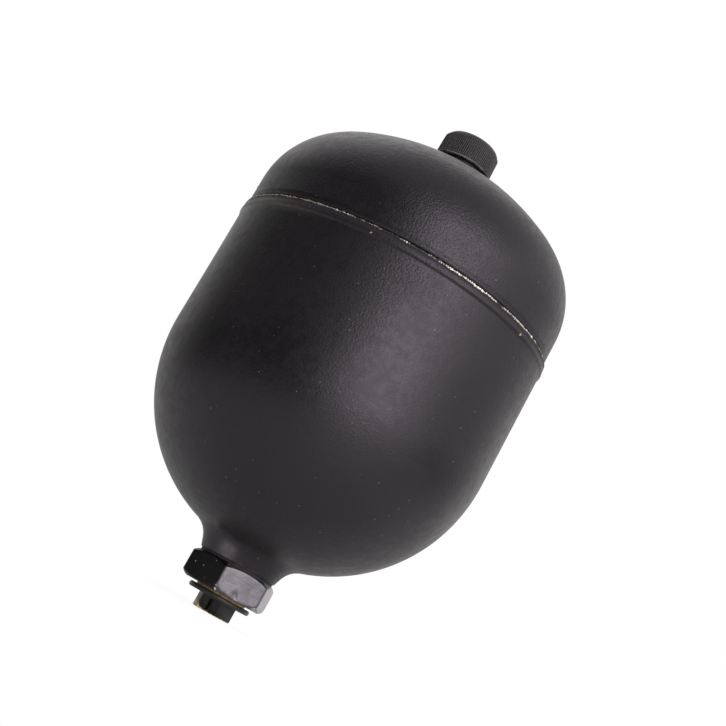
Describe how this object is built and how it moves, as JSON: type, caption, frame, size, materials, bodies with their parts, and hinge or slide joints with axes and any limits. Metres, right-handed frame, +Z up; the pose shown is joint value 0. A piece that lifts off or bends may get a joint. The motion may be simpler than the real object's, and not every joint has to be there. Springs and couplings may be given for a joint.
{
  "type": "bladder accumulator",
  "caption": "Welded steel hydraulic accumulator with a rubber bladder, hexagon port body, transport plug and ribbed gas cap.",
  "frame": {"origin": "centre of the fluid port's outer face, on the vessel's axis", "axes": "+Z up the vessel's axis to the gas end; +X to the right of the side with the slotted flats turned to the front (-Y)"},
  "size_m": [0.1744, 0.1744, 0.2766],
  "materials": {
    "black_paint": "satin",
    "bare_weld": "rough",
    "port_steel": "matte",
    "inner_steel": "satin",
    "bladder_rubber": "matte",
    "seal_rubber": "matte",
    "cap_plastic": "matte",
    "plug_plastic": "matte"
  },
  "bodies": {
    "root": {"fluid_side_shell": "black_paint", "gas_side_shell": "black_paint", "weld_bead": "bare_weld", "clamp_ring": "inner_steel", "bladder": "bladder_rubber", "closing_button": "inner_steel", "port_body": "port_steel", "port_sealing_washer": "seal_rubber", "gas_charging_screw": "inner_steel", "screw_seal_ring": "seal_rubber", "protective_cap": "cap_plastic", "transport_plug": "plug_plastic"}
  },
  "joints": []
}
